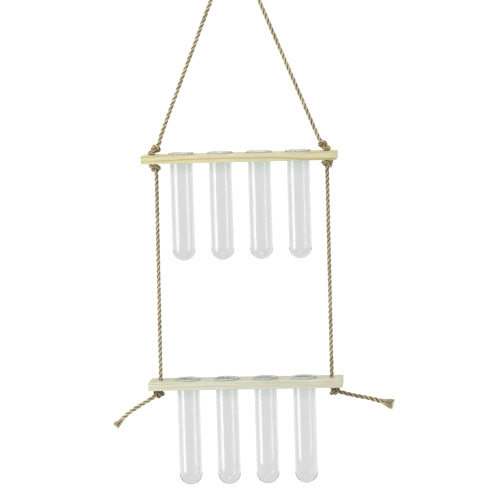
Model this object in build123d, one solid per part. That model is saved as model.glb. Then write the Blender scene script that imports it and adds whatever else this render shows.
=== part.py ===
"""A two-tier hanging test tube vase: glass tubes in two wooden bars that hang on one knotted rope.

Frame: +Z up, +X along the bars, +Y away from the viewer. The origin is the point that hangs on a hook,
inside the bend at the top of the rope.
"""

import math
import os

from build123d import *

# Glass tubes, in millimetres
TUBE_OD = 25.0
TUBE_WALL = 1.2
TUBE_LENGTH = 117.0
# Glass at the lowest point of the round bottom
TUBE_FLOOR = 2.2
# How far the rim stands out from the tube, and how tall it is
RIM_FLARE = 1.5
RIM_HEIGHT = 2.0
RIM_ROUND = 0.8
TUBES_PER_TIER = 4
# Clear space between neighbouring rims
TUBE_SPACING = 14.0

# Wooden bars
BAR_THICKNESS = 9.0
# Wood left in front of a tube hole, and behind it
BAR_SIDE_WOOD = 5.6
# From a rope hole's axis to the end of the bar, and from the outer rim to a rope hole's axis
BAR_END_WOOD = 12.0
RIM_TO_ROPE = 16.0
BAR_EDGE = 0.8
TUBE_CLEARANCE = 0.4
ROPE_CLEARANCE = 0.35

# Rope, which is drawn thinner in its knots
ROPE_D = 4.4
KNOT_SQUEEZE = 1.2
# Rope that shows between a knot's outermost strand and where the free rope starts
KNOT_STUB = 0.4
KNOT_SEAT = 0.3
# Room between a knot and the rounded end of the rope that swings there
SWING_GAP = 0.3
# Radius of the hook that the top bend hangs on
HOOK_R = 4.0
# Straight rope where a loose end leaves its knot, and the frayed tip
TAIL_LEAD = 6.5
FRAY_LENGTH = 13.0
FRAY_D = 9.6

# Heights: hang point to upper bar, and upper tubes' bottoms to lower bar
HANG_DROP = 214.0
TIER_GAP = 130.0

# Lean of each knot's axis from the vertical, and its turn about that axis, in degrees
TOP_KNOT_LEAN = 34.0
END_KNOT_LEAN = {"left": 55.0, "right": 74.0}
TOP_KNOT_TURN = {"left": -30.0, "right": -20.0}
UNDER_KNOT_TURN = {"left": 105.0, "right": 75.0}
END_KNOT_TURN = {"left": -45.0, "right": -15.0}

# One half of an overhand knot's route, entered from below, in diameters of the squeezed rope: a long knot
# on top of a bar, and a flat one pulled against a bar from below. A half turn about the knot's Y axis gives
# the other half. The knots on the right are mirrored.
TOP_KNOT_HALF = [
    (0.00, 0.00, -0.96),
    (-0.52, -0.50, -0.32),
    (-0.81, -0.83, 0.56),
    (-0.32, -1.20, 1.36),
    (0.64, -1.05, 1.79),
    (1.24, -0.24, 1.47),
    (1.03, 0.71, 1.05),
    (0.48, 0.89, 0.21),
]
LOW_KNOT_HALF = [
    (0.00, 0.00, -1.09),
    (-0.54, -0.26, -0.33),
    (-0.80, -0.87, 0.10),
    (-0.32, -1.57, 0.64),
    (0.71, -1.44, 1.04),
    (1.44, -0.64, 1.09),
    (1.57, 0.41, 0.88),
    (1.00, 1.22, 0.47),
]
# Loose ends: outward and downward from the rope hole's lower mouth, in millimetres
TAIL = {
    "left": [(22.0, -17.2), (30.5, -22.3), (38.0, -27.4), (43.4, -32.6)],
    "right": [(24.5, -11.4), (34.8, -13.4), (44.2, -15.6), (53.4, -18.2)],
}

# Sizes that follow from the driving dimensions
RIM_OD = TUBE_OD + 2 * RIM_FLARE
TUBE_PITCH = RIM_OD + TUBE_SPACING
TUBE_XS = [(i - (TUBES_PER_TIER - 1) / 2) * TUBE_PITCH for i in range(TUBES_PER_TIER)]
ROPE_X = TUBE_XS[-1] + RIM_OD / 2 + RIM_TO_ROPE
BAR_LENGTH = 2 * (ROPE_X + BAR_END_WOOD)
BAR_DEPTH = TUBE_OD + 2 * (TUBE_CLEARANCE + BAR_SIDE_WOOD)
ROPE_R = ROPE_D / 2
KNOT_ROPE_D = ROPE_D - KNOT_SQUEEZE
UPPER_TOP = -HANG_DROP
LOWER_TOP = UPPER_TOP - (TUBE_LENGTH - RIM_HEIGHT) - TIER_GAP
TIER_TOPS = {"upper": UPPER_TOP, "lower": LOWER_TOP}
SIDES = {"left": -1, "right": 1}

# Largest arc in a corner of a rope's route, as a share of the shorter run beside it
ARC_SHARE = 0.45
# Points on a knot's route for measuring its gap to itself, and the stretch that counts as one strand
GAP_POINTS = 120
ONE_STRAND = 1.9 * KNOT_ROPE_D


def bar(top):
    """A flat bar with eased edges, a row of tube holes and a rope hole near each end."""
    body = Box(BAR_LENGTH, BAR_DEPTH, BAR_THICKNESS, align=(Align.CENTER, Align.CENTER, Align.MAX))
    body = fillet(body.edges(), BAR_EDGE)
    holes = [(x, TUBE_OD / 2 + TUBE_CLEARANCE) for x in TUBE_XS]
    holes += [(side * ROPE_X, ROPE_R + ROPE_CLEARANCE) for side in SIDES.values()]
    for x, radius in holes:
        body -= Pos(x, 0, -BAR_THICKNESS / 2) * Cylinder(radius, 2 * BAR_THICKNESS)
    return Pos(0, 0, top) * body


def tube(x, top):
    """A round-bottomed tube, revolved from its half section, with its rim seated on the bar's top."""
    outer = TUBE_OD / 2
    bore = outer - TUBE_WALL
    rim = RIM_OD / 2
    low = RIM_HEIGHT - TUBE_LENGTH
    belly = low + outer
    bore_belly = low + TUBE_FLOOR + bore
    low_quarter = math.sqrt(0.5)
    lip = RIM_ROUND * (1 - low_quarter)
    mouth = (rim + bore) / 2
    with BuildSketch(Plane.XZ) as section:
        with BuildLine():
            ThreePointArc((0, low), (outer * low_quarter, belly - outer * low_quarter), (outer, belly))
            Line((outer, belly), (outer, 0))
            Line((outer, 0), (rim - RIM_ROUND, 0))
            ThreePointArc((rim - RIM_ROUND, 0), (rim - lip, lip), (rim, RIM_ROUND))
            ThreePointArc((rim, RIM_ROUND), (mouth, RIM_HEIGHT), (bore, RIM_ROUND))
            Line((bore, RIM_ROUND), (bore, bore_belly))
            ThreePointArc(
                (bore, bore_belly),
                (bore * low_quarter, bore_belly - bore * low_quarter),
                (0, low + TUBE_FLOOR),
            )
            Line((0, low + TUBE_FLOOR), (0, low))
        make_face()
    return Pos(x, 0, top) * revolve(section.sketch, Axis.Z)


def rope_path(points):
    """Straight runs joined by tangent arcs, each as large as its two runs allow."""
    points = [Vector(*point) for point in points]
    radii = []
    for before, corner, after in zip(points, points[1:], points[2:]):
        turn = (corner - before).get_angle(after - corner)
        run = min((corner - before).length, (after - corner).length)
        radii.append(ARC_SHARE * run / math.tan(math.radians(turn) / 2))
    return FilletPolyline(*points, radius=radii), radii


def rope_tube(path, diameter, name):
    """A plain round rope along a path. Prints its volume against section times length."""
    body = sweep(Plane(origin=path @ 0, z_dir=path % 0) * Circle(diameter / 2), path=path)
    expected = math.pi * diameter**2 / 4 * path.length
    print(f"{name}: length {path.length:.1f} mm, volume {body.volume / expected:.4f} of section times length")
    return body


def knot_route(out, lean, turn):
    """A left knot's route from its foot, out along its axis. out is 1 above a bar and -1 below it.

    lean tips the axis about Y, inward above a bar and outward below it, and turn spins the knot on that axis.
    """
    shape, axis_turn = (TOP_KNOT_HALF, lean) if out > 0 else (LOW_KNOT_HALF, 180 + lean)
    half = [Vector(*point) * KNOT_ROPE_D for point in shape]
    other = [Vector(-point.X, point.Y, -point.Z) for point in reversed(half)]
    stub = Vector(0, 0, max(point.Z for point in half) + KNOT_ROPE_D / 2 + KNOT_STUB)
    route = [point.rotate(Axis.Z, turn).rotate(Axis.Y, axis_turn) for point in [*half, *other, stub]]
    return [point - route[0] for point in route]


def knot_rise(route, out):
    """How far from the bar's face a knot's foot is, so that its nearest strand just clears the face."""
    return KNOT_ROPE_D / 2 + KNOT_SEAT + max(-out * point.Z for point in route)


def knot_points(start, foot, side, route):
    """A knot's points on one side: straight from a start in the bar to the foot, then through the knot."""
    return [start] + [foot + Vector(-side * point.X, point.Y, point.Z) for point in route]


def print_knot_gap(path):
    """Prints the least gap between two strands of a knot, measured on points along its route."""
    points = [path @ (i / GAP_POINTS) for i in range(GAP_POINTS + 1)]
    apart = math.ceil(ONE_STRAND / path.length * GAP_POINTS)
    pairs = ((a, b) for i, a in enumerate(points) for b in points[i + apart :])
    least = min((a - b).length for a, b in pairs)
    print(f"least gap of a knot to itself: {least - KNOT_ROPE_D:.2f} mm")


def knot(name, points):
    """A knot as one swept tube."""
    path, radii = rope_path(points)
    print(f"{name}: bend radii", [round(radius, 1) for radius in radii])
    print_knot_gap(path)
    return rope_tube(path, KNOT_ROPE_D, name)


def swing_point(points):
    """Centre of the rounded rope end that swings at a knot's outlet."""
    outlet, before = points[-1], points[-2]
    return outlet + (outlet - before).normalized() * (SWING_GAP + ROPE_R)


def hanging_rope(left, right):
    """The rope over the hook: two straight legs, tangent to the bend, with rounded lower ends."""
    centre = Vector(0, 0, -HOOK_R)
    bend = HOOK_R + ROPE_R
    touch = []
    for side, end in ((-1, left), (1, right)):
        out = end - centre
        lift = math.degrees(math.acos(bend / out.length))
        touch.append(centre + out.normalized().rotate(Axis.Y, -side * lift) * bend)
    arc = ThreePointArc(touch[0], centre + Vector(0, 0, bend), touch[1])
    path = Line(left, touch[0]) + arc + Line(touch[1], right)
    body = rope_tube(Wire(path.edges()), ROPE_D, "hanging_rope")
    for end in (left, right):
        body += Pos(end) * Sphere(ROPE_R)
    return body


def side_rope(top, bottom, name):
    """The straight rope between the tiers, through the lower bar, with a rounded upper end."""
    return rope_tube(Wire([Edge.make_line(top, bottom)]), ROPE_D, name) + Pos(top) * Sphere(ROPE_R)


def tail(name, side, outlet, before, mouth):
    """A loose end that leaves its knot and opens into a frayed tuft."""
    lead = outlet + (outlet - before).normalized() * TAIL_LEAD
    points = [outlet, lead] + [mouth + Vector(side * out, 0, down) for out, down in TAIL[name]]
    path, radii = rope_path(points)
    print(f"{name}_tail: bend radii", [round(radius, 1) for radius in radii])
    fray = Cone(ROPE_R, FRAY_D / 2, FRAY_LENGTH, align=(Align.CENTER, Align.CENTER, Align.MIN))
    return rope_tube(path, ROPE_D, f"{name}_tail") + Plane(origin=path @ 1, z_dir=path % 1) * fray


def build():
    """Every piece of the vase, by name."""
    parts = {}
    for tier, top in TIER_TOPS.items():
        parts[f"{tier}_bar"] = bar(top)
        for i, x in enumerate(TUBE_XS):
            parts[f"{tier}_tube_{i + 1}"] = tube(x, top)
    hang_ends = []
    top_routes = {name: knot_route(1, TOP_KNOT_LEAN, TOP_KNOT_TURN[name]) for name in SIDES}
    # Both top knots stand as high as the taller one needs, so that the tier swings about a level line
    top_rise = max(knot_rise(route, 1) for route in top_routes.values())
    up, down = Vector(0, 0, 1), Vector(0, 0, -1)
    for name, side in SIDES.items():
        upper_top, upper_low, lower_low = (
            Vector(side * ROPE_X, 0, z)
            for z in (UPPER_TOP, UPPER_TOP - BAR_THICKNESS, LOWER_TOP - BAR_THICKNESS)
        )
        points = knot_points(upper_low, upper_top + up * top_rise, side, top_routes[name])
        parts[f"{name}_top_knot"] = knot(f"{name}_top_knot", points)
        hang_ends.append(swing_point(points))
        route = knot_route(-1, 0, UNDER_KNOT_TURN[name])
        points = knot_points(upper_low, upper_low + down * knot_rise(route, -1), side, route)
        parts[f"{name}_under_knot"] = knot(f"{name}_under_knot", points)
        swing = swing_point(points)
        parts[f"{name}_side_rope"] = side_rope(swing, lower_low, f"{name}_side_rope")
        route = knot_route(-1, END_KNOT_LEAN[name], END_KNOT_TURN[name])
        points = knot_points(lower_low, lower_low + down * knot_rise(route, -1), side, route)
        parts[f"{name}_end_knot"] = knot(f"{name}_end_knot", points)
        parts[f"{name}_tail"] = tail(name, side, points[-1], points[-2], lower_low)
        print(f"{name}: hanging rope swings at", tuple(hang_ends[-1]), "and the lower tier at", tuple(swing))
    parts["hanging_rope"] = hanging_rope(*hang_ends)
    return parts


os.makedirs("parts", exist_ok=True)
for node, solid in build().items():
    export_step(solid, f"parts/{node}.step")
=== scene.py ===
"""Looks of a hanging two-tier test tube vase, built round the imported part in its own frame, in metres."""

import math
import random

import bpy
import numpy as np
from mathutils import Matrix, Vector


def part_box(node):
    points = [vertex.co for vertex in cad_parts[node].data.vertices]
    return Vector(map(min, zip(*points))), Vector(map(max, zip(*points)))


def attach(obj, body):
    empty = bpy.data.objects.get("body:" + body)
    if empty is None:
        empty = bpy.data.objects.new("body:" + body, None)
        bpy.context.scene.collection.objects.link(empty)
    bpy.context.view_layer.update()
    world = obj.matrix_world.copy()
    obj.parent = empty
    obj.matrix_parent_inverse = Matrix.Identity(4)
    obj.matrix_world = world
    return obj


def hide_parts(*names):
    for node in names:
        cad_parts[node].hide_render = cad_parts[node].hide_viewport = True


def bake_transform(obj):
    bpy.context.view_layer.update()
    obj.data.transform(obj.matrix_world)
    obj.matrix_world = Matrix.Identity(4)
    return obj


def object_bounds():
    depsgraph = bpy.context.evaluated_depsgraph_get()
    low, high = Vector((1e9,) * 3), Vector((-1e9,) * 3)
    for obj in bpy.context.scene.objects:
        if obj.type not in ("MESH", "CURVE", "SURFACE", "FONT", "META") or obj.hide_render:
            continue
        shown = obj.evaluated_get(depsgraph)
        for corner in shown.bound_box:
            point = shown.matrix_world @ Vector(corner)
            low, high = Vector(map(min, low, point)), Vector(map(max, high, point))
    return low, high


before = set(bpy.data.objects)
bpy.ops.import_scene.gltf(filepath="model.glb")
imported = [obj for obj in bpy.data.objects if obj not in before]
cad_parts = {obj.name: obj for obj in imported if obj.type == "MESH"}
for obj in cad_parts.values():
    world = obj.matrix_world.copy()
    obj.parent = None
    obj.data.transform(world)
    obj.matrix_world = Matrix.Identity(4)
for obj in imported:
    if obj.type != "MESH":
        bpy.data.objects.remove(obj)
cad_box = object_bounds()

MM = 0.001
SEED = 7
SIDES = {"left": -1, "right": 1}
TIERS = ("upper", "lower")
TUBES_PER_TIER = 4
WHITE = (1.0, 1.0, 1.0)

# Camera: where it looks, from how far and which way, in degrees, and its lens on a 36 mm sensor
CAMERA_TARGET = (8.4 * MM, 0.0, -319.0 * MM)
CAMERA_DISTANCE = 2587 * MM
CAMERA_AZIMUTH = 4.3
CAMERA_ELEVATION = 5.3
CAMERA_ROLL = -1.68
CAMERA_LENS = 172.8

# Rope: strands that turn once round its line in each lay
ROPE_D = 4.4 * MM
ROPE_LAY = 17.5 * MM
STRANDS = 3
STRAND_R = 1.10 * MM
STRAND_OFFSET = 1.12 * MM
STRAND_SIDES = 16
RING_STEP = 0.65 * MM
LINE_RESOLUTION = 24
# Yarns in a strand: how many ridges, how deep as a share of its radius, and how they turn along it
YARN_RIDGES = 5
YARN_DEPTH = 0.06
YARN_TURN = -0.36 / MM
# How much a strand's thickness wanders, as a share, and over what distance
STRAND_UNEVEN = 0.07
UNEVEN_STEP = 5 * MM
# A rope's width in a knot, as a share, and the distance over which it narrows
KNOT_WIDTH = 0.90
KNOT_EASE = 3.5 * MM
# How much painted shade darkens and browns a knot, and how far each loose end is darkened beyond its knot
# before that fades; the end knot itself gets full painted shade from the lower bar above it
KNOT_SHADE = 0.5
DARKER_END = {"left": 0.0, "right": 25 * MM}
DARKER_END_FADE = 15 * MM
# Loose hairs on a rope: how far they lift, lean and bend is a share of their length
HAIRS_PER_M = 2600
HAIR_R = 0.035 * MM
HAIR_LENGTH = (1.0 * MM, 2.8 * MM)
HAIR_LIFT = (0.15, 0.75)
HAIR_LEAN = (-0.6, 0.6)
HAIR_BEND = (-0.5, 0.3)
HAIR_RINGS = 4
HAIR_SIDES = 3
# How many of a rope's rings have no hairs at either end
BARE_RINGS = 2
# Frayed ends: the strands part over the last stretch of rope, then open into fibres
OPEN_LENGTH = {"left": 7 * MM, "right": 24 * MM}
OPEN_SHARE = {"left": 0.10, "right": 0.6}
FRAY_FIBRES = 170
FRAY_R = 0.16 * MM
FRAY_R_SHARE = (0.7, 1.3)
FRAY_LENGTH = {"left": 11 * MM, "right": 13 * MM}
FRAY_LENGTH_SHARE = (0.80, 1.0)
FRAY_SPREAD = {"left": 1.2 * MM, "right": 1.7 * MM}
FRAY_CURL = {"left": 1.0 * MM, "right": 1.4 * MM}
FRAY_ROOT = 2.0 * MM
FRAY_RINGS = 7
FRAY_SIDES = 4
# Powers over 1 leave most of the parting, the spread and the curl to the last bit
OPEN_POWER = 1.5
FRAY_SPREAD_POWER = 1.4
FRAY_CURL_POWER = 1.5
# How much of a strand's section the fibres fill, how far they keep its twist, and the rings that show it
FRAY_FILL = 0.95
FRAY_TWIST = 0.2
END_RINGS = 6
# Any fibre: its width at the tip as a share, its length on the map, and a direction that none runs along
FIBRE_TIP = 0.35
FIBRE_MAP = 0.01
FIBRE_CROSS = (0.31, 0.87, 0.39)
# Where on the map a strand faces outward
OUTER_SIDE = 0.5

# The rope's route, as in the part's source but with tighter knots: half a knot above a bar and one below
TOP_KNOT_SCALE = 3.05 * MM
LOW_KNOT_SCALE = 2.75 * MM
KNOT_STUB = 0.4 * MM
TOP_KNOT_HALF = [
    (0.00, 0.00, -0.96),
    (-0.52, -0.50, -0.32),
    (-0.81, -0.83, 0.56),
    (-0.32, -1.20, 1.36),
    (0.64, -1.05, 1.79),
    (1.24, -0.24, 1.47),
    (1.03, 0.71, 1.05),
    (0.48, 0.89, 0.21),
]
LOW_KNOT_HALF = [
    (0.00, 0.00, -1.09),
    (-0.54, -0.26, -0.33),
    (-0.80, -0.87, 0.10),
    (-0.32, -1.57, 0.64),
    (0.71, -1.44, 1.04),
    (1.44, -0.64, 1.09),
    (1.57, 0.41, 0.88),
    (1.00, 1.22, 0.47),
]
# Under the upper bar the knots are pulled into a fan: wider, flatter, and narrower towards the rope
FAN_SPREAD = 1.12
FAN_SQUAT = 0.92
FAN_TAPER = 0.25
# How each knot leans sideways and is turned about its own axis, in degrees
TOP_KNOT_LEAN = 34.0
UNDER_KNOT_LEAN = {"left": -5.0, "right": 0.0}
END_KNOT_LEAN = {"left": 55.0, "right": 74.0}
TOP_KNOT_TURN = {"left": -30.0, "right": -20.0}
UNDER_KNOT_TURN = {"left": 105.0, "right": 75.0}
END_KNOT_TURN = {"left": -45.0, "right": -15.0}
UNDER_KNOT_SHIFT = {"left": 2.0 * MM, "right": 0.8 * MM}
# Loose ends: straight out of the knot, then outward and downward from the rope hole's lower mouth, in mm
TAIL_LEAD = 6.5 * MM
TAIL = {
    "left": [(22.0, -17.2), (30.5, -22.3), (38.0, -27.4), (43.4, -32.6)],
    "right": [(24.5, -11.4), (34.8, -13.4), (44.2, -15.6), (53.4, -18.2)],
}
# The bend over a hook, and how far down each straight leg the next point lies
HOOK_R = 4.0 * MM
HOOK_POINTS = 3
LEG_POINT = 6 * ROPE_D
# The left leg leaves its knot more steeply than it runs on
LEFT_LEG_EASE = (0.9 * MM, 0.0, 6.5 * MM)

# Jute: its lighter and darker fibres, and the painted shade in the grooves between its strands
JUTE = ((0.75, 0.69, 0.48), (0.20, 0.165, 0.08), (0.14, 0.12, 0.07))
FRAYED_JUTE = ((0.76, 0.67, 0.44), (0.24, 0.19, 0.10), WHITE)
JUTE_STRETCH = (14.0, 420.0, 1.0)
JUTE_FIBRE_STOPS = (0.3, 0.62)
# Where the painted shade between strands starts and is full, as a distance on the map from a strand's outer
# side
JUTE_GROOVE_SHADE_STOPS = (0.10, 0.26)
JUTE_PATCHES = [(0.35, (0.80, 0.74, 0.66)), (0.65, WHITE)]
# Painted shade in knots and under the lower bar, browner and darker, which also darkens a loose end beyond
# its knot
JUTE_SHADE_AND_DARKENING = [(0.0, WHITE), (0.5, (1.0, 0.88, 0.74)), (1.0, (0.63, 0.57, 0.50))]

# Pine: its pale wood and ring lines, the grain's tilt in degrees, and where its rings lie
PINE = {
    "upper": {
        "pale": (0.56, 0.54, 0.355),
        "line": (0.385, 0.30, 0.12),
        "tilt": (0.0, 2.0, 3.0),
        "ring_centre": (0.0, 30 * MM, 232 * MM),
        "ring_gap": 4.5 * MM,
    },
    "lower": {
        "pale": (0.550, 0.558, 0.465),
        "line": (0.475, 0.462, 0.325),
        "tilt": (0.0, -1.0, -2.0),
        "ring_centre": (0.0, 25 * MM, 480 * MM),
        "ring_gap": 3.5 * MM,
    },
}
PINE_RING_STOPS = (0.0, 0.62, 0.93, 1.0)
PINE_STRETCH = (22.0, 900.0, 900.0)
PINE_STREAKS = [(0.3, (0.86, 0.82, 0.74)), (0.6, WHITE)]
PINE_PATCHES = [(0.4, WHITE), (0.7, (1.0, 0.95, 0.82))]
# The gap between a wave texture's rings at a scale of 1
WAVE_GAP = math.pi / 10

# Glass tubes, as in the part's source, with a milky rim and neck inside the bar: painted light that keeps
# the rim and the inside of its hole light, where the real glass is clear
TUBE_OD = 25.0 * MM
TUBE_WALL = 1.2 * MM
TUBE_FLOOR = 2.2 * MM
RIM_ROUND = 0.8 * MM
RIM_HEIGHT = 2.0 * MM
NECK_DEPTH = 8.0 * MM
TUBE_SEGMENTS = 96
ARC_STEPS = 18
WALL_STEPS = 40
# Where the round under a rim ends, in degrees, just before the rim's bead
RIM_ROUND_END = -10.0
# Waviness: its depth, each wave's count round the tube and turn per metre, and where it starts to fade
TUBE_WAVE = 0.015 * MM
TUBE_WAVES = ((2, 40), (3, -25))
WAVE_FADE_R = TUBE_OD / 4
# Each glass: its tint low down and at the top, where a darker, greener tint is painted shade from the bar
# above, its clear share, roughness, and light taken per metre
GLASS = {
    "clear_glass": {
        "body": (0.94, 0.94, 0.94),
        "top": (0.81, 0.86, 0.81),
        "clear": 1.0,
        "roughness": 0.0,
        "density": 62.0,
    },
    # Painted light: the rim and neck scatter a share of white light so that they look light
    "rim_glass": {
        "body": (0.92, 0.935, 0.90),
        "top": (0.92, 0.935, 0.90),
        "clear": 0.65,
        "roughness": 0.12,
        "density": 25.0,
    },
}
GLASS_IOR = 1.47
GLASS_DEPTH_TINT = (0.10, 0.13, 0.12)
# How high up a tube its tint turns to the painted shade from the bar, as a share, and the painted shade on
# its front and back that leaves its sides lighter
GLASS_TINT_STOPS = (0.78, 0.92)
# Painted shade on a tube's front and back, so that its sides look lighter
GLASS_FRONT_SHADE = (0.89, 0.89, 0.89)
GLASS_EDGE_LIGHT_STOPS = [(0.05, GLASS_FRONT_SHADE), (0.5, WHITE), (0.95, GLASS_FRONT_SHADE)]

# Studio: a floor of glowing paper, and a surround with greys from the horizon at 0 to straight up at 1
FLOOR_DROP = 150 * MM
FLOOR_HALF = 60.0
FLOOR_CORNERS = [(-1, -1), (1, -1), (1, 1), (-1, 1)]
PAPER_GREY = 0.08
PAPER_GLOW = 0.98
SURROUND = [(0.0, WHITE), (0.05, WHITE), (0.13, (0.45, 0.45, 0.45)), (1.0, WHITE)]
SURROUND_STRENGTH = 1.05
# Area lights: place, size and power
LIGHT_TARGET = (0.0, 0.0, -0.35)
LIGHTS = {
    "overhead": ((0.2, -0.2, 1.3), (1.0, 0.8), 14),
    "left_box": ((-0.67, -0.40, -0.26), (0.42, 0.9), 4.6),
    "right_box": ((0.39, -0.68, -0.26), (0.12, 0.9), 0.14),
}


def added(name, data):
    """A new object in the scene."""
    thing = bpy.data.objects.new(name, data)
    bpy.context.scene.collection.objects.link(thing)
    return thing


def node_size(name):
    """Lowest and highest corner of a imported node, and its middle."""
    low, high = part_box(name)
    return low, high, (low + high) / 2


# Node-based materials


def set_stops(ramp, stops):
    """Gives a colour ramp's node its (place, colour) stops."""
    ends = ramp.color_ramp.elements
    while len(ends) < len(stops):
        ends.new(0.5)
    for end, (place, colour) in zip(ends, stops):
        end.position = place
        end.color = (*colour, 1.0)


class Shader:
    """A material's node tree, with short ways to add and join nodes."""

    # A mix node has sockets for each kind of data: these are its factor, its two colours and their result
    MIX_INPUTS = (0, 6, 7)
    MIX_RESULT = 2

    def __init__(self, name):
        self.material = bpy.data.materials.new(name)
        self.material.use_nodes = True
        self.tree = self.material.node_tree
        self.bsdf = self.tree.nodes["Principled BSDF"]

    def add(self, kind, **settings):
        """A node, with its sockets and properties set: a space in a socket's name is written as _."""
        node = self.tree.nodes.new("ShaderNode" + kind)
        for key, value in settings.items():
            socket = key.replace("_", " ")
            if socket in node.inputs:
                node.inputs[socket].default_value = value
            else:
                setattr(node, key, value)
        return node

    def join(self, source, target):
        self.tree.links.new(source, target)

    def set(self, **values):
        for key, value in values.items():
            self.bsdf.inputs[key.replace("_", " ")].default_value = value

    def paint(self, colour):
        self.join(colour, self.bsdf.inputs["Base Color"])

    def of_vector(self, kind, vector, **settings):
        """The outputs of a node that takes a vector."""
        node = self.add(kind, **settings)
        self.join(vector, node.inputs["Vector"])
        return node.outputs

    def mapped(self, vector, **settings):
        """A vector that is moved, turned or stretched."""
        return self.of_vector("Mapping", vector, **settings)["Vector"]

    def noise(self, vector, **settings):
        return self.of_vector("TexNoise", vector, **settings)["Fac"]

    def distance(self, number, middle):
        """How far a number is from a middle."""
        less = self.add("Math", operation="SUBTRACT")
        self.join(number, less.inputs[0])
        less.inputs[1].default_value = middle
        size = self.add("Math", operation="ABSOLUTE")
        self.join(less.outputs[0], size.inputs[0])
        return size.outputs[0]

    def ramp(self, number, stops):
        """A colour ramp over a number."""
        node = self.add("ValToRGB")
        set_stops(node, stops)
        self.join(number, node.inputs["Fac"])
        return node.outputs["Color"]

    def multiply(self, first, second):
        """One colour times another."""
        node = self.add("Mix", data_type="RGBA", blend_type="MULTIPLY")
        factor, a, b = (node.inputs[i] for i in self.MIX_INPUTS)
        factor.default_value = 1.0
        self.join(first, a)
        self.join(second, b)
        return node.outputs[self.MIX_RESULT]

    def bump(self, height, strength, distance):
        node = self.add("Bump", Strength=strength, Distance=distance)
        self.join(height, node.inputs["Height"])
        self.join(node.outputs["Normal"], self.bsdf.inputs["Normal"])


def jute_material(name, light, dark, groove_shade_tone):
    """Twisted jute: fibres along each strand, painted shade between strands and in knots, a darker stretch
    beyond an end knot, and paler and browner patches.
    """
    s = Shader(name)
    uv = s.add("UVMap", uv_map="rope").outputs["UV"]
    place = s.add("TexCoord").outputs["Object"]
    fibres = s.noise(s.mapped(uv, Scale=JUTE_STRETCH), Scale=1.0, Detail=5.0, Roughness=0.65)
    patches = s.noise(place, Scale=70.0, Detail=2.0)
    # Painted shade in knots and under the lower bar, and a darker stretch of loose end
    painted_shade_and_darkening = s.add("Attribute", attribute_name="painted_shade_and_darkening").outputs["Fac"]
    shade_toward_grooves = s.distance(s.of_vector("SeparateXYZ", uv)["X"], OUTER_SIDE)
    tone = s.ramp(fibres, list(zip(JUTE_FIBRE_STOPS, (dark, light))))
    tone = s.multiply(tone, s.ramp(patches, JUTE_PATCHES))
    tone = s.multiply(tone, s.ramp(painted_shade_and_darkening, JUTE_SHADE_AND_DARKENING))
    # Painted shade in the grooves between strands
    tone = s.multiply(tone, s.ramp(shade_toward_grooves, list(zip(JUTE_GROOVE_SHADE_STOPS, (WHITE, groove_shade_tone)))))
    s.paint(tone)
    s.set(Roughness=0.82, Sheen_Weight=0.15, Specular_IOR_Level=0.25)
    s.bump(fibres, strength=0.6, distance=0.15 * MM)
    return s.material


def pine_material(name, pale, line, tilt, ring_centre, ring_gap):
    """Sanded pine: growth rings round a line beside the bar, so faces show streaks and ends show arcs."""
    s = Shader(name)
    place = s.add("TexCoord").outputs["Object"]
    turned = s.mapped(place, Location=ring_centre, Rotation=[math.radians(angle) for angle in tilt])
    wander = s.noise(turned, Scale=9.0, Detail=2.0)
    streaks = s.noise(s.mapped(turned, Scale=PINE_STRETCH), Scale=1.0, Detail=4.0, Roughness=0.6)
    rings = s.of_vector(
        "TexWave",
        turned,
        wave_type="RINGS",
        rings_direction="X",
        wave_profile="SAW",
        Scale=WAVE_GAP / ring_gap,
        Distortion=2.2,
        Detail=2.0,
        Detail_Scale=0.35,
    )["Fac"]
    tone = s.ramp(rings, list(zip(PINE_RING_STOPS, (pale, pale, line, pale))))
    tone = s.multiply(tone, s.ramp(streaks, PINE_STREAKS))
    tone = s.multiply(tone, s.ramp(wander, PINE_PATCHES))
    s.paint(tone)
    s.set(Roughness=0.48, Specular_IOR_Level=0.6)
    s.bump(streaks, strength=0.25, distance=0.1 * MM)
    return s.material


def glass_material(name, body, top, clear, roughness, density):
    """Glass that is darker where it is thicker, with a tint that turns from the body's to the top's painted
    shade from the bar, and painted shade on its front and back.

    The share that isn't clear scatters light.
    """
    s = Shader(name)
    place = s.add("TexCoord").outputs["Generated"]
    share = s.of_vector("SeparateXYZ", place)
    # Painted shade from the bar, towards the top of a tube
    tint = s.ramp(share["Z"], list(zip(GLASS_TINT_STOPS, (body, top))))
    # Painted shade on the front and back of a tube, leaving its sides lighter
    s.paint(s.multiply(tint, s.ramp(share["Y"], GLASS_EDGE_LIGHT_STOPS)))
    s.set(Roughness=roughness, IOR=GLASS_IOR, Transmission_Weight=clear)
    depth = s.add("VolumeAbsorption", Color=(*GLASS_DEPTH_TINT, 1.0), Density=density)
    s.join(depth.outputs["Volume"], s.tree.nodes["Material Output"].inputs["Volume"])
    return s.material


def paper_material(name):
    """Studio paper that glows, so that it turns out white."""
    s = Shader(name)
    s.set(Base_Color=(PAPER_GREY, PAPER_GREY, PAPER_GREY, 1.0), Roughness=0.9)
    s.set(Emission_Color=(*WHITE, 1.0), Emission_Strength=PAPER_GLOW)
    return s.material


# Meshes


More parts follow.
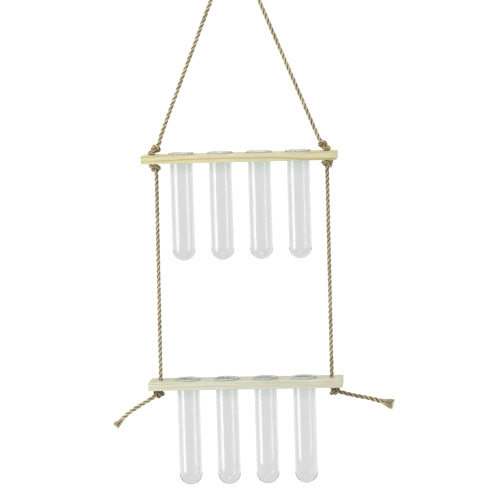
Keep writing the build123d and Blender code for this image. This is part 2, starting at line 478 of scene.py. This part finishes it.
class Tubes:
    """Closed tubes gathered into one mesh, with a map of how far round and along each one a point lies."""

    def __init__(self):
        self.points, self.faces, self.maps, self.painted_shade_and_darkening = [], [], [], []
        self.count = 0

    def add(self, grid, along, painted_shade_and_darkening):
        """A tube from its rings of points, each ring's distance along it and its share of painted shade and
        darkening.
        """
        rings, sides = grid.shape[:2]
        first = self.count
        self.painted_shade_and_darkening.append(np.repeat(painted_shade_and_darkening, sides))
        self.painted_shade_and_darkening.append(painted_shade_and_darkening[[0, -1]])
        self.points.append(grid.reshape(-1, 3))
        self.points.append(grid[[0, -1]].mean(axis=1))
        self.count += rings * sides + 2
        for i in range(rings - 1):
            for j in range(sides):
                k = (j + 1) % sides
                low, high = first + i * sides, first + (i + 1) * sides
                self.faces.append((low + j, low + k, high + k, high + j))
                a, b = j / sides, (j + 1) / sides
                self.maps += [(a, along[i]), (b, along[i]), (b, along[i + 1]), (a, along[i + 1])]
        middle = first + rings * sides
        for ring, hub, way in ((0, middle, -1), (rings - 1, middle + 1, 1)):
            start = first + ring * sides
            for j in range(sides):
                a, b = (j, (j + 1) % sides)[::way]
                self.faces.append((hub, start + a, start + b))
                self.maps += [(OUTER_SIDE, along[ring])] * 3

    def piece(self, name, material):
        mesh = bpy.data.meshes.new(name)
        mesh.from_pydata(np.concatenate(self.points).tolist(), [], self.faces)
        layer = mesh.uv_layers.new(name="rope")
        layer.uv.foreach_set("vector", np.array(self.maps, np.float32).ravel())
        # Painted shade and darkening, as a share along the rope
        share = mesh.attributes.new("painted_shade_and_darkening", "FLOAT", "POINT")
        share.data.foreach_set("value", np.concatenate(self.painted_shade_and_darkening).astype(np.float32))
        mesh.polygons.foreach_set("use_smooth", [True] * len(mesh.polygons))
        mesh.materials.append(material)
        return added(name, mesh)


def unit(vectors):
    return vectors / np.linalg.norm(vectors, axis=-1, keepdims=True)


def smooth_line(points):
    """Points along a smooth line with the given control points."""
    curve = bpy.data.curves.new("route", "CURVE")
    curve.dimensions = "3D"
    curve.resolution_u = LINE_RESOLUTION
    spline = curve.splines.new("NURBS")
    spline.points.add(len(points) - 1)
    for spot, point in zip(spline.points, points):
        spot.co = (*point, 1.0)
    spline.order_u = 3
    spline.use_endpoint_u = True
    holder = added("route", curve)
    mesh = bpy.data.meshes.new_from_object(holder)
    line = np.array([vertex.co for vertex in mesh.vertices])
    bpy.data.objects.remove(holder)
    bpy.data.curves.remove(curve)
    bpy.data.meshes.remove(mesh)
    return line


def even_line(line):
    """The line's points at even steps, with each one's distance along it."""
    run = np.concatenate([[0.0], np.cumsum(np.linalg.norm(np.diff(line, axis=0), axis=1))])
    along = np.linspace(0.0, run[-1], int(run[-1] / RING_STEP) + 1)
    return np.stack([np.interp(along, run, line[:, axis]) for axis in range(3)], axis=1), along


def carried_frame(line):
    """The line's direction and two cross directions, carried along it without twist."""
    ahead = unit(np.gradient(line, axis=0))
    side = np.zeros_like(line)
    side[0] = unit(np.cross(ahead[0], (0.0, 1.0, 0.0)))
    for i in range(1, len(line)):
        side[i] = unit(side[i - 1] - ahead[i] * (side[i - 1] @ ahead[i]))
    return ahead, side, np.cross(ahead, side)


def uneven(along, draw):
    """A smooth wandering share near 1 along a strand."""
    spots = np.arange(0.0, along[-1] + 2 * UNEVEN_STEP, UNEVEN_STEP)
    return np.interp(along, spots, [1 + draw.uniform(-STRAND_UNEVEN, STRAND_UNEVEN) for _ in spots])


def knot_ends(line, along, knot):
    """How far along a rope's line a knot starts and ends."""
    spots = (np.array(point) for point in (knot[1], knot[-2]))
    return [along[np.linalg.norm(line - spot, axis=1).argmin()] for spot in spots]


def knot_width(line, along, knots):
    """The rope's width along its line as a share: drawn in where it passes through a knot."""
    width = np.ones(len(line))
    for knot in knots:
        start, end = knot_ends(line, along, knot)
        inside = np.minimum(along - start, end - along) / KNOT_EASE
        ease = np.clip(inside, 0.0, 1.0)
        width -= (1 - KNOT_WIDTH) * ease * ease * (3 - 2 * ease)
    return width


def rope(name, points, knots, material, open_length=0.0, open_share=0.0, darker_end=None):
    """A three-strand rope with loose hairs along a route, whose strands may part over its last stretch.

    The darker end is how far the rope is darkened beyond its last knot, if it is; that knot itself gets
    full painted shade from the bar above it.
    Returns the piece, its line and its strands' last rings.
    """
    draw = random.Random(f"{SEED}{name}")
    line, along = even_line(smooth_line(points))
    ahead, side, up = carried_frame(line)
    width = knot_width(line, along, knots)
    last_stretch = np.clip(1 - (along[-1] - along) / max(open_length, RING_STEP), 0.0, 1.0)
    opened = open_share * last_stretch**OPEN_POWER
    # Painted shade where the rope is drawn into a knot
    painted_shade_and_darkening = KNOT_SHADE * (1 - width) / (1 - KNOT_WIDTH)
    if darker_end is not None:
        # Painted shade over the last knot, under the bar above it, then a darker stretch beyond it
        start, end = knot_ends(line, along, knots[-1])
        marks = [start - KNOT_EASE, start, end + darker_end, end + darker_end + DARKER_END_FADE]
        painted_shade_and_darkening = np.maximum(painted_shade_and_darkening, np.interp(along, marks, [0.0, 1.0, 1.0, 0.0]))
    tubes = Tubes()
    round_angle = np.pi + np.linspace(0.0, 2 * np.pi, STRAND_SIDES, endpoint=False)
    skins = []
    for k in range(STRANDS):
        angle = 2 * np.pi * (k / STRANDS + along / ROPE_LAY)
        outward = np.cos(angle)[:, None] * side + np.sin(angle)[:, None] * up
        centre = line + outward * (STRAND_OFFSET * width * (1 + opened))[:, None]
        across = np.cross(unit(np.gradient(centre, axis=0)), outward)
        ridges = 1 + YARN_DEPTH * np.cos(YARN_RIDGES * (round_angle[None] - YARN_TURN * along[:, None]))
        radius = (STRAND_R * width * uneven(along, draw))[:, None] * ridges
        ring = np.cos(round_angle)[None, :, None] * outward[:, None]
        ring = ring + np.sin(round_angle)[None, :, None] * across[:, None]
        skin = centre[:, None] + radius[..., None] * ring
        tubes.add(skin, along, painted_shade_and_darkening)
        skins.append((skin, ring))
    for _ in range(int(HAIRS_PER_M * along[-1])):
        add_hair(tubes, draw, skins, ahead, along)
    return tubes.piece(name, material), line, [skin[-END_RINGS:] for skin, _ in skins]


def add_hair(tubes, draw, skins, ahead, along):
    """One loose fibre that leaves the outer half of a strand at a low angle and bends."""
    skin, ring = draw.choice(skins)
    i = draw.randrange(BARE_RINGS, len(along) - BARE_RINGS)
    j = draw.randrange(STRAND_SIDES // 4, 3 * STRAND_SIDES // 4)
    way = ahead[i] * draw.choice((-1, 1))
    out = ring[i, j]
    sideways = np.cross(way, out) * draw.uniform(*HAIR_LEAN)
    length = draw.uniform(*HAIR_LENGTH)
    lift = draw.uniform(*HAIR_LIFT)
    bend = draw.uniform(*HAIR_BEND)
    share = np.linspace(0.0, 1.0, HAIR_RINGS)[:, None]
    course = way * (1 - lift) + out * lift * (1 + bend * share) + sideways * share
    add_fibre(tubes, skin[i, j] + length * share * course, HAIR_R, HAIR_SIDES, along[i])


def add_fibre(tubes, path, radius, sides, along):
    """A thin tapering fibre along a few points."""
    ahead = unit(np.gradient(path, axis=0))
    side = unit(np.cross(ahead, FIBRE_CROSS))
    up = np.cross(ahead, side)
    angle = np.linspace(0.0, 2 * np.pi, sides, endpoint=False)[None, :, None]
    taper = np.linspace(1.0, FIBRE_TIP, len(path))[:, None, None]
    grid = path[:, None] + radius * taper * (np.cos(angle) * side[:, None] + np.sin(angle) * up[:, None])
    tubes.add(grid, along + np.linspace(0.0, FIBRE_MAP, len(path)), np.zeros(len(path)))


def fray(name, strands, material, reach, spread, curl):
    """A rope's cut end: each strand opens into fibres that run on for a reach, spread and curl."""
    draw = random.Random(f"{SEED}{name}")
    tubes = Tubes()
    share = np.linspace(0.0, 1.0, FRAY_RINGS)[:, None]
    middle = np.mean([strand[-1].mean(axis=0) for strand in strands], axis=0)
    axis = unit(middle - np.mean([strand[0].mean(axis=0) for strand in strands], axis=0))
    for strand in strands:
        centre = strand[-1].mean(axis=0)
        twist = unit(centre - strand[0].mean(axis=0))
        way = unit(axis + FRAY_TWIST * (twist - axis))
        for _ in range(FRAY_FIBRES):
            root = centre + (draw.choice(list(strand[-1])) - centre) * math.sqrt(draw.random()) * FRAY_FILL
            out = root - middle
            out = (out - axis * (out @ axis)) / (ROPE_D / 2)
            bend = np.array([draw.uniform(-1.0, 1.0) for _ in range(3)])
            length = reach * draw.uniform(*FRAY_LENGTH_SHARE)
            path = root - way * FRAY_ROOT + way * share * (length + FRAY_ROOT)
            path = path + out * spread * share**FRAY_SPREAD_POWER + bend * curl * share**FRAY_CURL_POWER
            add_fibre(tubes, path, FRAY_R * draw.uniform(*FRAY_R_SHARE), FRAY_SIDES, draw.random())
    return tubes.piece(name, material)


# The rope's route


def rope_x(name):
    return node_size(f"{name}_side_rope")[2].x


def whole_knot(shape, scale):
    """Both halves of a knot, along its own Z axis."""
    half = [Vector(point) * scale for point in shape]
    return half + [Vector((-point.x, point.y, -point.z)) for point in reversed(half)]


def fanned(knot):
    """A knot pulled into a fan."""
    reach = max(point.z for point in knot)
    wide = [FAN_SPREAD * (1 - FAN_TAPER * point.z / reach) for point in knot]
    return [Vector((point.x * w, point.y * w, point.z * FAN_SQUAT)) for point, w in zip(knot, wide)]


def knot_points(knot, start, face, side, out, lean, turn):
    """A knot's control points, from a start in the bar: the knot's nearest strand lies on the face.

    out is 1 above a bar and -1 below it. The knots on the right are mirrored.
    """
    radius = KNOT_WIDTH * ROPE_D / 2
    stub = Vector((0.0, 0.0, max(point.z for point in knot) + radius + KNOT_STUB))
    axis_turn = lean if out > 0 else 180.0 + lean
    spin = Matrix.Rotation(math.radians(axis_turn), 3, "Y") @ Matrix.Rotation(math.radians(turn), 3, "Z")
    route = [spin @ point for point in [*knot, stub]]
    route = [Vector((-side * (p.x - route[0].x), p.y - route[0].y, p.z - route[0].z)) for p in route]
    rise = radius + max(-out * point.z for point in route)
    foot = face + Vector((0.0, 0.0, out * rise))
    return [start] + [foot + point for point in route]


def hook_points(left, right):
    """Control points round the hook, from the left leg to the right, with one on each straight leg."""
    centre = Vector((0.0, 0.0, -HOOK_R))
    bend = HOOK_R + ROPE_D / 2
    lean = []
    for end in (left, right):
        out = end - centre
        lean.append(math.atan2(out.x, out.z) + math.copysign(math.acos(bend / out.length), -out.x))
    step = (lean[1] - lean[0]) / HOOK_POINTS
    corner = bend / math.cos(step / 2)
    angles = [lean[0] + step * (i + 0.5) for i in range(HOOK_POINTS)]
    over = [centre + corner * Vector((math.sin(a), 0.0, math.cos(a))) for a in angles]
    first = over[0] + (left - over[0]).normalized() * LEG_POINT
    last = over[-1] + (right - over[-1]).normalized() * LEG_POINT
    return [first, *over, last]


def hanging_route():
    """Left top knot, left leg, hook, right leg, right top knot, with the two knots' own points."""
    _, bar_high, bar_middle = node_size("upper_bar")
    rope_low, rope_high, _ = node_size("hanging_rope")
    knots, swings = {}, {}
    for name, side in SIDES.items():
        start = Vector((rope_x(name), 0.0, bar_middle.z))
        face = Vector((rope_x(name), 0.0, bar_high.z))
        knot = whole_knot(TOP_KNOT_HALF, TOP_KNOT_SCALE)
        knots[name] = knot_points(knot, start, face, side, 1, TOP_KNOT_LEAN, TOP_KNOT_TURN[name])
        edge = rope_low if side < 0 else rope_high
        swings[name] = Vector((edge.x - side * ROPE_D / 2, 0.0, rope_low.z + ROPE_D / 2))
    left, right = swings.values()
    ease = left + Vector(LEFT_LEG_EASE)
    route = [*knots["left"], left, ease, *hook_points(ease, right), right, *reversed(knots["right"])]
    return route, [knots["left"], knots["right"][::-1]]


def side_route(name, side):
    """Under knot, straight rope, lower bar, end knot and loose end, with the two knots' own points."""
    upper_low, _, upper_middle = node_size("upper_bar")
    lower_low, _, lower_middle = node_size("lower_bar")
    x = rope_x(name)
    start = Vector((x, 0.0, upper_middle.z))
    face = Vector((x + UNDER_KNOT_SHIFT[name], 0.0, upper_low.z))
    knot = whole_knot(LOW_KNOT_HALF, LOW_KNOT_SCALE)
    under = knot_points(fanned(knot), start, face, side, -1, UNDER_KNOT_LEAN[name], UNDER_KNOT_TURN[name])
    swing = Vector((under[-1].x, 0.0, node_size(f"{name}_side_rope")[1].z - ROPE_D / 2))
    mouth = Vector((x, 0.0, lower_low.z))
    inside = Vector((x, 0.0, lower_middle.z))
    end = knot_points(knot, inside, mouth, side, -1, END_KNOT_LEAN[name], END_KNOT_TURN[name])
    lead = end[-1] + (end[-1] - end[-2]).normalized() * TAIL_LEAD
    tail = [mouth + Vector((side * out, 0.0, down)) * MM for out, down in TAIL[name]]
    return [*under, swing, *end, lead, *tail], [under, end]


def bend_at(piece):
    """Bakes the piece's placing into its mesh."""
    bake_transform(piece)


def make_ropes():
    jute = jute_material("jute", *JUTE)
    frayed = jute_material("frayed_jute", *FRAYED_JUTE)
    route, knots = hanging_route()
    hanging, line, _ = rope("hanging_cord", route, knots, jute)
    bend_at(hanging)
    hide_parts("hanging_rope", "left_top_knot", "right_top_knot")
    for name, side in SIDES.items():
        route, knots = side_route(name, side)
        looks = jute, OPEN_LENGTH[name], OPEN_SHARE[name], DARKER_END[name]
        cord, line, strands = rope(f"{name}_cord", route, knots, *looks)
        bend_at(cord)
        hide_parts(*(f"{name}_{part}" for part in ("under_knot", "side_rope", "end_knot", "tail")))
        tuft = fray(f"{name}_fray", strands, frayed, FRAY_LENGTH[name], FRAY_SPREAD[name], FRAY_CURL[name])
        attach(tuft, "lower_tier")


# Glass


def arc(centre, radius, start, end):
    """Points of an arc in a tube's half section, with angles in degrees from the outward direction."""
    angles = np.radians(np.linspace(start, end, ARC_STEPS))
    return np.stack([centre[0] + radius * np.cos(angles), centre[1] + radius * np.sin(angles)], axis=1)


def tube_section(length, rim):
    """Half a tube's section: bottom outside, over the rim, to the bottom inside, with the seat at 0."""
    outer = TUBE_OD / 2
    bore = outer - TUBE_WALL
    low = RIM_HEIGHT - length
    belly, bore_belly = low + outer, low + TUBE_FLOOR + bore
    outside, inside = (np.linspace(start, 0.0, WALL_STEPS)[1:-1] for start in (belly, bore_belly))
    lip = (rim - bore) / 2
    bead = np.radians(np.linspace(0.0, 180.0, ARC_STEPS))
    crest = RIM_HEIGHT - RIM_ROUND
    return np.concatenate(
        [
            arc((0.0, belly), outer, -90.0, 0.0),
            np.stack([np.full_like(outside, outer), outside], axis=1),
            [(outer, 0.0)],
            arc((rim - RIM_ROUND, RIM_ROUND), RIM_ROUND, -90.0, RIM_ROUND_END),
            np.stack([bore + lip + lip * np.cos(bead), RIM_ROUND + crest * np.sin(bead)], axis=1),
            np.stack([np.full_like(inside, bore), inside[::-1]], axis=1),
            arc((0.0, bore_belly), bore, 0.0, -90.0),
        ]
    )


def turned_faces(rings, sides):
    """Faces of a section turned round, whose two end points come after its rings of points."""
    last = (rings - 1) * sides
    first_end = rings * sides
    faces = []
    for j in range(sides):
        k = (j + 1) % sides
        faces.append((first_end, k, j))
        for row in range(0, last, sides):
            faces.append((row + j, row + k, row + sides + k, row + sides + j))
        faces.append((first_end + 1, last + j, last + k))
    return faces


def make_tube(node, glass, rim_glass):
    """A blown tube: its section turned round, with the slight waviness of drawn glass."""
    low, high, middle = node_size(node)
    draw = random.Random(f"{SEED}{node}")
    section = tube_section(high.z - low.z, (high.x - low.x) / 2)
    out, height = section[1:-1, :1], section[1:-1, 1:]
    turn = np.linspace(0.0, 2 * np.pi, TUBE_SEGMENTS, endpoint=False)
    phases = [draw.uniform(0.0, 2 * np.pi) for _ in TUBE_WAVES]
    waves = [np.sin(n * turn + phase + height * rate) for (n, rate), phase in zip(TUBE_WAVES, phases)]
    radius = out + TUBE_WAVE / len(waves) * sum(waves) * np.minimum(1.0, out / WAVE_FADE_R)
    heights = np.broadcast_to(height, radius.shape)
    grid = np.stack([radius * np.cos(turn), radius * np.sin(turn), heights], axis=2)
    points = np.concatenate([grid.reshape(-1, 3), [(0, 0, section[0, 1]), (0, 0, section[-1, 1])]])
    seat = high.z - RIM_HEIGHT
    points += (middle.x, middle.y, seat)
    mesh = bpy.data.meshes.new(f"{node}_glass")
    mesh.from_pydata(points.tolist(), [], turned_faces(*radius.shape))
    mesh.polygons.foreach_set("use_smooth", [True] * len(mesh.polygons))
    mesh.materials.append(glass)
    mesh.materials.append(rim_glass)
    # The rim and the neck inside the bar get the milky glass, as painted light
    neck = seat - NECK_DEPTH
    mesh.polygons.foreach_set("material_index", [int(face.center.z > neck) for face in mesh.polygons])
    piece = added(f"{node}_glass", mesh)
    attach(piece, node)
    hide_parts(node)


def make_tubes():
    glass, rim_glass = (glass_material(name, **look) for name, look in GLASS.items())
    for tier in TIERS:
        for i in range(TUBES_PER_TIER):
            make_tube(f"{tier}_tube_{i + 1}", glass, rim_glass)


# Wood


def finish_bars():
    for tier in TIERS:
        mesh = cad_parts[f"{tier}_bar"].data
        mesh.materials.clear()
        mesh.materials.append(pine_material(f"{tier}_pine", **PINE[tier]))


# Studio


def make_floor():
    low, _ = cad_box
    mesh = bpy.data.meshes.new("floor")
    mesh.from_pydata([(x * FLOOR_HALF, y * FLOOR_HALF, 0) for x, y in FLOOR_CORNERS], [], [(0, 1, 2, 3)])
    mesh.materials.append(paper_material("floor_paper"))
    floor = added("floor", mesh)
    floor.location.z = low.z - FLOOR_DROP


def make_surround():
    """A white world with a grey band a little above the horizon."""
    world = bpy.data.worlds.new("studio")
    bpy.context.scene.world = world
    world.use_nodes = True
    nodes, links = world.node_tree.nodes, world.node_tree.links
    place = nodes.new("ShaderNodeTexCoord")
    split = nodes.new("ShaderNodeSeparateXYZ")
    ramp = nodes.new("ShaderNodeValToRGB")
    set_stops(ramp, SURROUND)
    background = nodes["Background"]
    background.inputs["Strength"].default_value = SURROUND_STRENGTH
    links.new(place.outputs["Generated"], split.inputs["Vector"])
    links.new(split.outputs["Z"], ramp.inputs["Fac"])
    links.new(ramp.outputs["Color"], background.inputs["Color"])


def make_lights():
    for name, (place, size, power) in LIGHTS.items():
        data = bpy.data.lights.new(name, "AREA")
        data.shape = "RECTANGLE"
        data.size, data.size_y = size
        data.energy = power
        lamp = added(name, data)
        lamp.visible_camera = False
        lamp.location = place
        lamp.rotation_euler = (Vector(LIGHT_TARGET) - Vector(place)).to_track_quat("-Z", "Y").to_euler()
    bpy.context.scene.view_settings.view_transform = "Standard"


def make_camera():
    azimuth, elevation, roll = (math.radians(a) for a in (CAMERA_AZIMUTH, CAMERA_ELEVATION, CAMERA_ROLL))
    flat = math.cos(elevation)
    back = Vector((math.sin(azimuth) * flat, -math.cos(azimuth) * flat, math.sin(elevation)))
    right = Vector((math.cos(azimuth), math.sin(azimuth), 0.0))
    up = back.cross(right)
    rolled_right = right * math.cos(roll) + up * math.sin(roll)
    rolled_up = up * math.cos(roll) - right * math.sin(roll)
    place = Matrix.Translation(Vector(CAMERA_TARGET) + back * CAMERA_DISTANCE)
    data = bpy.data.cameras.new("camera")
    data.lens = CAMERA_LENS
    camera = added("camera", data)
    camera.matrix_world = place @ Matrix((rolled_right, rolled_up, back)).transposed().to_4x4()
    bpy.context.scene.camera = camera


make_camera()
make_floor()
make_surround()
make_lights()
make_ropes()
make_tubes()
finish_bars()
